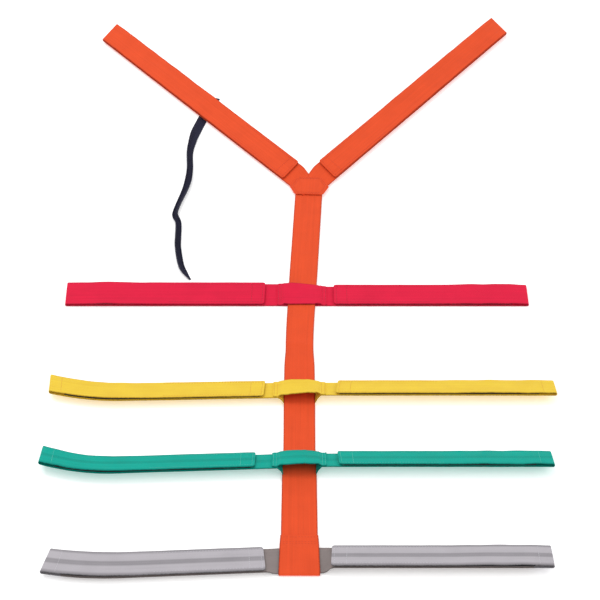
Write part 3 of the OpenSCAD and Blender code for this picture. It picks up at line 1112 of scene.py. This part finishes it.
def build_yoke_panel():
    """The six-sided panel, bound along its edge and quilted by two rounds of stitches."""
    outline = rounded_outline(PANEL_CORNERS)
    rings = []
    for inset, height in PANEL_LEVELS:
        ring = []
        for corner in outline:
            across, along = corner * (1 - inset)
            point = yoke_place(across, along, PANEL_BASE + height)
            ring.append((point, along, across * (HALF / PANEL_HALF)))
        rings.append(ring)
    panel = sweep("yoke_panel", rings, "orange_webbing", PATTERN_SEEDS["panel"])
    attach(panel, "harness")
    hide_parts("yoke_patch")

    stitches = []
    for inset, height in PANEL_SEAMS:
        corners = [yoke_place(*Vector(corner) * (1 - inset), PANEL_BASE + height) for corner in PANEL_CORNERS]
        for start, end in zip(corners, corners[1:] + corners[:1]):
            stitches += stitch_line(start, end, UP)
    sewing = seam("yoke_sewing", stitches, "orange_thread")
    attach(sewing, "harness")
    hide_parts("yoke_stitching")


build_yoke_panel()

# ---- stowage tie: a thin tape sewn under the left shoulder strap, lying loose and half turned ----

# Its route, from the sewn end to the free end: x, y, roll in degrees, cup in degrees
TIE_ROUTE = [
    (-0.170, 0.490, 0, 0), (-0.185, 0.443, 0, 0), (-0.198, 0.395, 6, 10), (-0.208, 0.350, 20, 120),
    (-0.214, 0.305, 38, 160), (-0.211, 0.250, 24, 190), (-0.211, 0.200, -20, 170), (-0.226, 0.125, -42, 200),
    (-0.224, 0.090, 20, 210), (-0.224, 0.050, 40, 190), (-0.222, 0.020, 28, 200), (-0.213, -0.035, 34, 190),
    (-0.197, -0.064, 62, 160),
]
TIE_W = 0.019
TIE_T = 0.0009

# Thickness to each side of the middle line, as a share of the whole, and at the edges
TIE_SHARE = 0.5
TIE_EDGE_SHARE = 0.25

# Points across the tape, and its steps and the reach that gives its direction, in places of the route
TIE_SAMPLES = 11
TIE_STEP = 0.08
TIE_AHEAD = 0.01

# How much narrower its free end looks, and over how much of the route
TIE_TAPER = 0.45
TIE_TAPER_SPAN = 0.9

# A tape that is cupped less than this, in radians, is flat across
LEAST_CUP = 0.02


def spline(values, t):
    """Catmull-Rom curve through a list of numbers."""
    index = min(int(t), len(values) - 2)
    before, here, after = values[max(index - 1, 0)], values[index], values[index + 1]
    beyond = values[min(index + 2, len(values) - 1)]
    u = t - index
    return 0.5 * (2 * here + (after - before) * u + (2 * before - 5 * here + 4 * after - beyond) * u * u
                  + (3 * here - before - 3 * after + beyond) * u ** 3)


def tie_section(roll, cup, width):
    """Middle line of the cupped and rolled section, as (sideways, height, tilt), resting on the ground."""
    line = []
    for index in range(TIE_SAMPLES):
        arc = width * (index / (TIE_SAMPLES - 1) - 0.5)
        if cup > LEAST_CUP:
            radius = width / cup
            angle = arc / radius
            side, height = radius * math.sin(angle), radius * (1 - math.cos(angle))
        else:
            angle, side, height = 0.0, arc, 0.0
        line.append((side * math.cos(roll) - height * math.sin(roll),
                     side * math.sin(roll) + height * math.cos(roll), angle + roll))
    lowest = min(height for _, height, _ in line)
    return [(side, height - lowest, tilt) for side, height, tilt in line]


def tie_point(t):
    """Point of the tie's line, t places along its route."""
    x, y, _, _ = (spline(column, t) for column in zip(*TIE_ROUTE))
    return Vector((x, y, 0))


def build_tie():
    """The tape, swept along its route."""
    _, _, rolls, cups = zip(*TIE_ROUTE)
    end = len(TIE_ROUTE) - 1
    rings = []
    travelled = 0.0
    last = tie_point(0)
    for t in steps(0, end, TIE_STEP):
        roll = spline(rolls, t)
        cup = spline(cups, t)
        here = tie_point(t)
        ahead = tie_point(min(t + TIE_AHEAD, end))
        behind = tie_point(max(t - TIE_AHEAD, 0))
        side = (ahead - behind).normalized().cross(UP)
        travelled += (here - last).length
        last = here
        taper = 1 - TIE_TAPER * smooth((t - end + TIE_TAPER_SPAN) / TIE_TAPER_SPAN)
        line = tie_section(math.radians(roll), math.radians(max(0, cup)), TIE_W * taper)
        top = []
        bottom = []
        for index, (sideways, height, tilt) in enumerate(line):
            normal = UP * math.cos(tilt) - side * math.sin(tilt)
            middle = here + side * sideways + UP * (height + TIE_T / 2)
            across = TIE_W * (index / (TIE_SAMPLES - 1) - 0.5)
            fullness = TIE_EDGE_SHARE if index in (0, TIE_SAMPLES - 1) else TIE_SHARE
            top.append((middle + normal * TIE_T * fullness, travelled, across))
            bottom.append((middle - normal * TIE_T * fullness, travelled, across))
        rings.append(top + bottom[::-1])
    tie = sweep("tie_tape", rings, "tie_webbing", PATTERN_SEEDS["tie"])
    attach(tie, "harness")
    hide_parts("stowage_tie")


build_tie()
